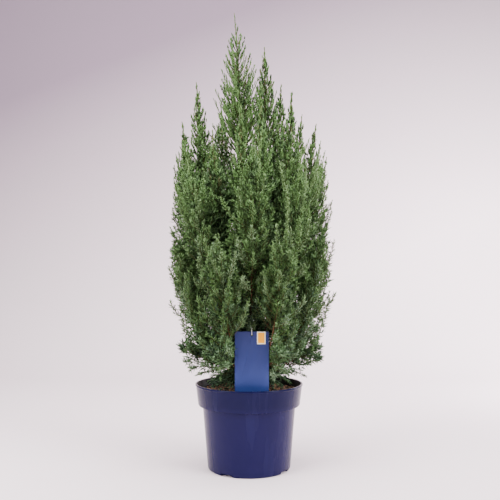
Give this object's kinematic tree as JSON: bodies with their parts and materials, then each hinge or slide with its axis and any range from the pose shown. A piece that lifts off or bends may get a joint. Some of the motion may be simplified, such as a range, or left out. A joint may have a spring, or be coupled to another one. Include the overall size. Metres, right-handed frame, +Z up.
{
  "type": "potted conifer",
  "caption": "Young upright juniper with many pointed leaders and dense feathery foliage, in a tapered blue nursery pot with a wide collar and a bare card label.",
  "frame": {"origin": "centre of the pot's flat underside, on the surface it stands on", "axes": "+Z up along the pot's axis, -Y towards the side of the label and the viewer, +X to the viewer's right"},
  "size_m": [0.337, 0.3394, 0.951],
  "materials": {
    "pot_plastic": "smooth, glossy blue injection-moulded plastic",
    "soil_mulch": "loose damp peat and bark crumbs",
    "card_print": "smooth plain card, satin",
    "tie_plastic": "pale satin plastic",
    "bark": "rough reddish-brown bark that peels in strips",
    "needles": "waxy grey-green needles"
  },
  "bodies": {
    "root": {"pot": "pot_plastic", "soil": "soil_mulch", "label_card": "card_print", "label_tie": "tie_plastic", "trunk": "bark", "right_spire_bough": "bark", "left_spire_bough": "bark", "back_right_spire_bough": "bark", "front_right_spire_bough": "bark", "right_shoulder_bough": "bark", "far_right_shoulder_bough": "bark", "far_left_shoulder_bough": "bark", "front_left_spire_bough": "bark", "front_spire_bough": "bark", "front_centre_spire_bough": "bark", "back_left_spire_bough": "bark", "back_spire_bough": "bark", "back_left_shoulder_bough": "bark", "back_right_shoulder_bough": "bark", "crest_foliage": "needles", "right_spire_foliage": "needles", "left_spire_foliage": "needles", "back_right_spire_foliage": "needles", "front_right_spire_foliage": "needles", "right_shoulder_foliage": "needles", "far_right_shoulder_foliage": "needles", "far_left_shoulder_foliage": "needles", "front_left_spire_foliage": "needles", "front_spire_foliage": "needles", "front_centre_spire_foliage": "needles", "back_left_spire_foliage": "needles", "back_spire_foliage": "needles", "back_left_shoulder_foliage": "needles", "back_right_shoulder_foliage": "needles", "flank_foliage_1": "needles", "flank_foliage_2": "needles", "flank_foliage_3": "needles", "flank_foliage_4": "needles", "flank_foliage_5": "needles", "flank_foliage_6": "needles", "flank_foliage_7": "needles", "flank_foliage_8": "needles", "low_foliage_1": "needles", "low_foliage_2": "needles", "low_foliage_3": "needles", "low_foliage_4": "needles", "low_foliage_5": "needles", "low_foliage_6": "needles", "low_foliage_7": "needles", "low_foliage_8": "needles", "skirt_foliage_1": "needles", "skirt_foliage_2": "needles", "skirt_foliage_3": "needles", "skirt_foliage_4": "needles", "skirt_foliage_5": "needles", "skirt_foliage_6": "needles", "skirt_foliage_7": "needles"}
  },
  "joints": []
}
